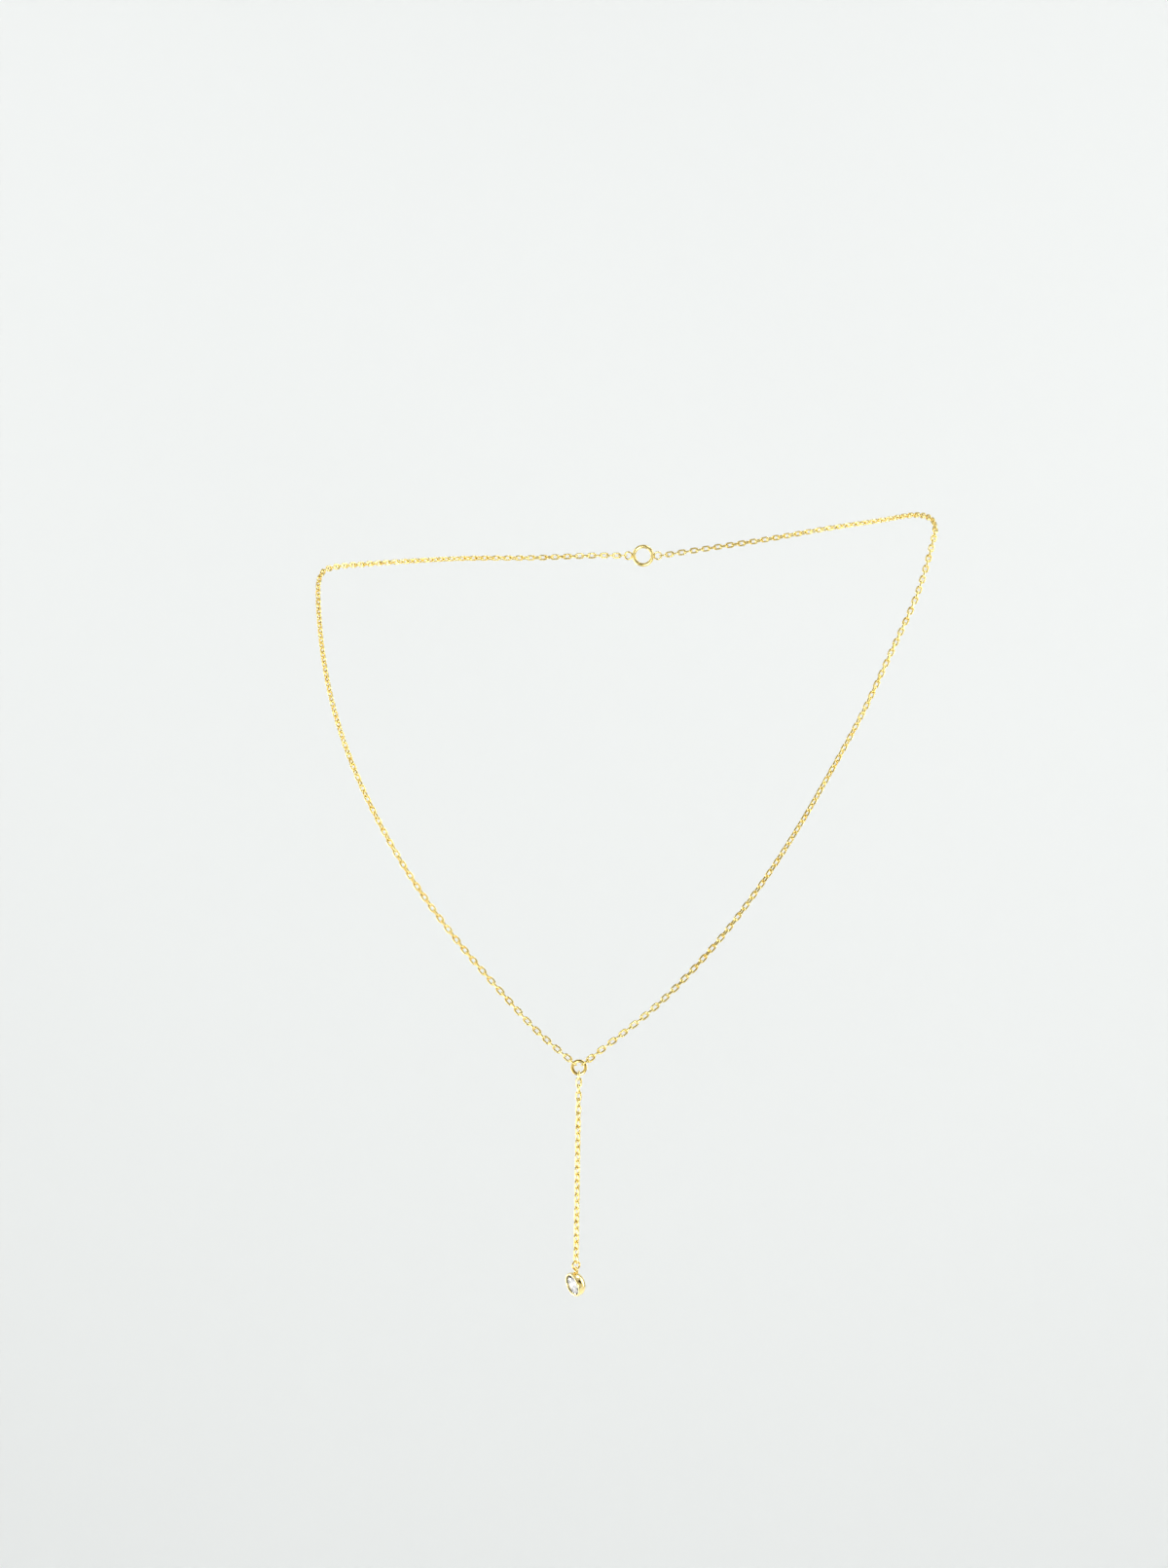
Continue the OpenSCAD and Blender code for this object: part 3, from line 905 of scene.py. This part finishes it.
start_fresh()
bpy.ops.mesh.primitive_cylinder_add(vertices=BEZEL_STEPS, radius=bezel_r, depth=BEZEL_DEPTH,
                                    end_fill_type="NGON")
setting = bpy.context.object
setting.name = "bezel_setting"
open_piece(setting)
pick(setting, "faces", flat_at(half_depth, bezel_r))
bpy.ops.mesh.inset(thickness=RIM_W)
step_in(rim_inner_r, rim_inner_r, -rim_round)
step_in(rim_inner_r, seat_r, seat_top - (half_depth - rim_round))
step_in(seat_r, seat_r, seat_bottom - seat_top)
step_in(seat_r, BACK_HOLE_R, floor_z - seat_bottom)
pick(setting, "faces", flat_at(-half_depth, bezel_r))
bpy.ops.mesh.inset(thickness=bezel_r - BACK_HOLE_R)
pick(setting, "faces", either(flat_at(floor_z, BACK_HOLE_R), flat_at(-half_depth, BACK_HOLE_R)))
bpy.ops.mesh.bridge_edge_loops()
pick(setting, "edges", either(ring_at(half_depth, bezel_r), ring_at(half_depth, rim_inner_r)))
bpy.ops.mesh.bevel(offset=rim_round, segments=RIM_SEGMENTS, affect="EDGES", clamp_overlap=True)
pick(setting, "edges", ring_at(-half_depth, bezel_r))
bpy.ops.mesh.bevel(offset=BACK_ROUND, segments=BACK_SEGMENTS, affect="EDGES")
close_shape()
measure(setting)

# %% [markdown]
# ## The loop on the bezel
# A small ring is soldered to the bezel's side, near its back. Where it meets the wall the solder
# has flowed into a foot, so the wire is thickened towards the wall. The ring could simply be
# pushed into the cup, but that would leave hidden faces inside. A Boolean union makes the loop
# and the cup one closed solid, as solder does.

# %% Model the loop
LOOP_D = 1.7 * MM
LOOP_WIRE_D = 0.42 * MM
LOOP_Z = -0.65 * MM
# How far up the loop its foot of solder reaches, and how much thicker the wire is at its end
SOLDER_REACH = 0.35 * MM
SOLDER_SWELL = 0.55

shoulder_r = (bezel_r - BACK_ROUND
              + math.sqrt(BACK_ROUND ** 2 - (BACK_ROUND - half_depth - LOOP_Z) ** 2))
loop_y = shoulder_r + LOOP_D / 2 - SOLDER
loop_r = (LOOP_D - LOOP_WIRE_D) / 2

loop = wind_ring("loop", LOOP_D, LOOP_WIRE_D, -math.pi / 2)
for vertex in loop.data.vertices:
    core = Vector((vertex.co.x, vertex.co.y, 0)).normalized() * loop_r
    height = core.y + LOOP_D / 2
    foot = max(0.0, 1 - height / SOLDER_REACH)
    vertex.co = core + (vertex.co - core) * (1 + SOLDER_SWELL * foot * foot)
loop.data.transform(Matrix.Translation((0, loop_y, LOOP_Z)))
measure(loop)

# %% Unite it with the bezel
SHARP_FROM = math.radians(40)


def unite(base, part):
    """Fuses a part with a base by a Boolean union, which is then applied."""
    take(base)
    union = base.modifiers.new("union", "BOOLEAN")
    union.operation = "UNION"
    union.solver = "EXACT"
    union.object = part
    bpy.ops.object.modifier_apply(modifier=union.name)
    bpy.data.objects.remove(part)


unite(setting, loop)
take(setting)
bpy.ops.object.shade_smooth_by_angle(angle=SHARP_FROM)
measure(setting)

# %% [markdown]
# ## Hanging the setting
# The loop hangs on the lowest point of the jump ring, and the bezel hangs from it with its face
# turned to the wearer's right and slightly down. The object could be moved and turned there, but
# the object of a finished piece sits at the origin, as the solids do, and its place is in its
# mesh. The stone's solid already hangs there.

# %% Hang the setting
SWING_GAP = 0.2 * MM
SETTING_TURN = math.radians(53)
SETTING_TILT = math.radians(15)

hinge = pendant_ring_middle - pendant_r * UP
hinge_y = loop_y + loop_r - (LOOP_WIRE_D + PENDANT_WIRE_D) / 2 - SWING_GAP
hang = (Matrix.Translation(hinge) @ Matrix.Rotation(-SETTING_TURN, 4, "Z")
        @ Matrix.Rotation(math.pi / 2 + SETTING_TILT, 4, "X")
        @ Matrix.Translation((0, -hinge_y, -LOOP_Z)))
setting.data.transform(hang)
setting.data.materials.append(setting_gold)
print("hinge at", [round(x / MM, 3) for x in hinge], "mm")

# %% [markdown]
# ## The clasp
# The clasp is hidden at the nape. A real one has a spring and a lever, but the photograph shows
# none of it, so it is kept plain: one round ring of thick wire with a small eye soldered on each
# side for the last link of each strand. The eye is wound once and copied.

# %% Model the clasp
CLASP_WIRE_D = 0.9 * MM

clasp = wind_ring("round_clasp", CLASP_D, CLASP_WIRE_D, math.pi / 2)
one_eye = wind_ring("eye", EYE_D, EYE_WIRE_D, math.pi / 2)
for side, eye in ((-1, one_eye), (1, twin(one_eye))):
    eye.data.transform(Matrix.Translation((side * eye_x, 0, 0)))
    unite(clasp, eye)
clasp.data.transform(Matrix.Translation(NAPE) @ Matrix.Rotation(math.pi / 2, 4, "X"))
take(clasp)
bpy.ops.object.shade_smooth_by_angle(angle=SHARP_FROM)
clasp.data.materials.append(clasp_gold)
measure(clasp)

# %% [markdown]
# ## The clear stone
# The stone is a round brilliant, cut from a clear synthetic crystal and polished. It could be
# cut again by bisecting a cone, but its solid has every facet of the cut already. So it keeps
# its own mesh and only gets its finish: a glass that bends light almost as strongly as the
# diamond it stands in for. The facets bend and mirror the light panels and the dark parts of the
# room, and that is what draws the pattern of white and grey in it. A faint cool tint and the
# finest polishing haze vary over it.

# %% Clear crystal
CRYSTAL_TINT = "#F7FAFF"
CRYSTAL_CLEAR = "#FFFFFF"
CRYSTAL_IOR = 2.4
HAZE_SIZE = 0.8 * MM
HAZE_ROUGHNESS = 0.02

crystal, tree, shader = new_material("clear_cut_crystal")
place = add_node(tree, "ShaderNodeTexCoord").outputs["Object"]
haze = add_node(tree, "ShaderNodeTexNoise", links=[("Vector", place)],
                values=[("Scale", 1 / HAZE_SIZE), ("Detail", 2.0)])
tint = add_node(tree, "ShaderNodeValToRGB", links=[("Fac", haze.outputs["Fac"])])
tint.color_ramp.elements[0].color = colour(CRYSTAL_TINT)
tint.color_ramp.elements[1].color = colour(CRYSTAL_CLEAR)
polish = add_node(tree, "ShaderNodeMapRange", links=[("Value", haze.outputs["Fac"])],
                  values=[("To Min", 0.0), ("To Max", HAZE_ROUGHNESS)])
tree.links.new(tint.outputs["Color"], shader.inputs["Base Color"])
tree.links.new(polish.outputs["Result"], shader.inputs["Roughness"])
shader.inputs["Transmission Weight"].default_value = 1.0
shader.inputs["IOR"].default_value = CRYSTAL_IOR
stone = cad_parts["stone"]
stone.data.materials.clear()
stone.data.materials.append(crystal)
print("stone:", len(stone.data.polygons), "facet triangles")

# %% [markdown]
# ## Tying the pieces to the solids
# Each new piece stands for a solid and moves with that solid's body. This could be said where
# each piece is made. One table holds it all instead, so that no piece is forgotten. The chains,
# rings and clasp belong to the necklace, and the setting swings with the pendant.

# %% Bodies, solids and slots
DRESSED = [(left_strand, "necklace", "neck_chain_left", "gold_chain"),
           (right_strand, "necklace", "neck_chain_right", "gold_chain"),
           (left_back, "necklace", "back_chain_left", "gold_chain"),
           (right_back, "necklace", "back_chain_right", "gold_chain"),
           (drop, "necklace", "drop_chain", "gold_chain"),
           (centre_ring, "necklace", "centre_ring", "gold_ring"),
           (pendant_ring, "necklace", "pendant_ring", "gold_ring"),
           (setting, "pendant", "setting", "gold_setting"),
           (clasp, "necklace", "clasp", "gold_clasp")]
for piece, body, node, slot in DRESSED:
    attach(piece, body)
    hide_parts(node)
for piece, body, node, slot in DRESSED:
    low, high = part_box(node)
    made = [piece.matrix_world @ Vector(corner) for corner in piece.bound_box]
    out = max(max((low - corner)[i], (corner - high)[i]) for corner in made for i in range(3))
    print(f"{piece.name} stands for {node}, proud of it by {out / MM:.3f} mm")
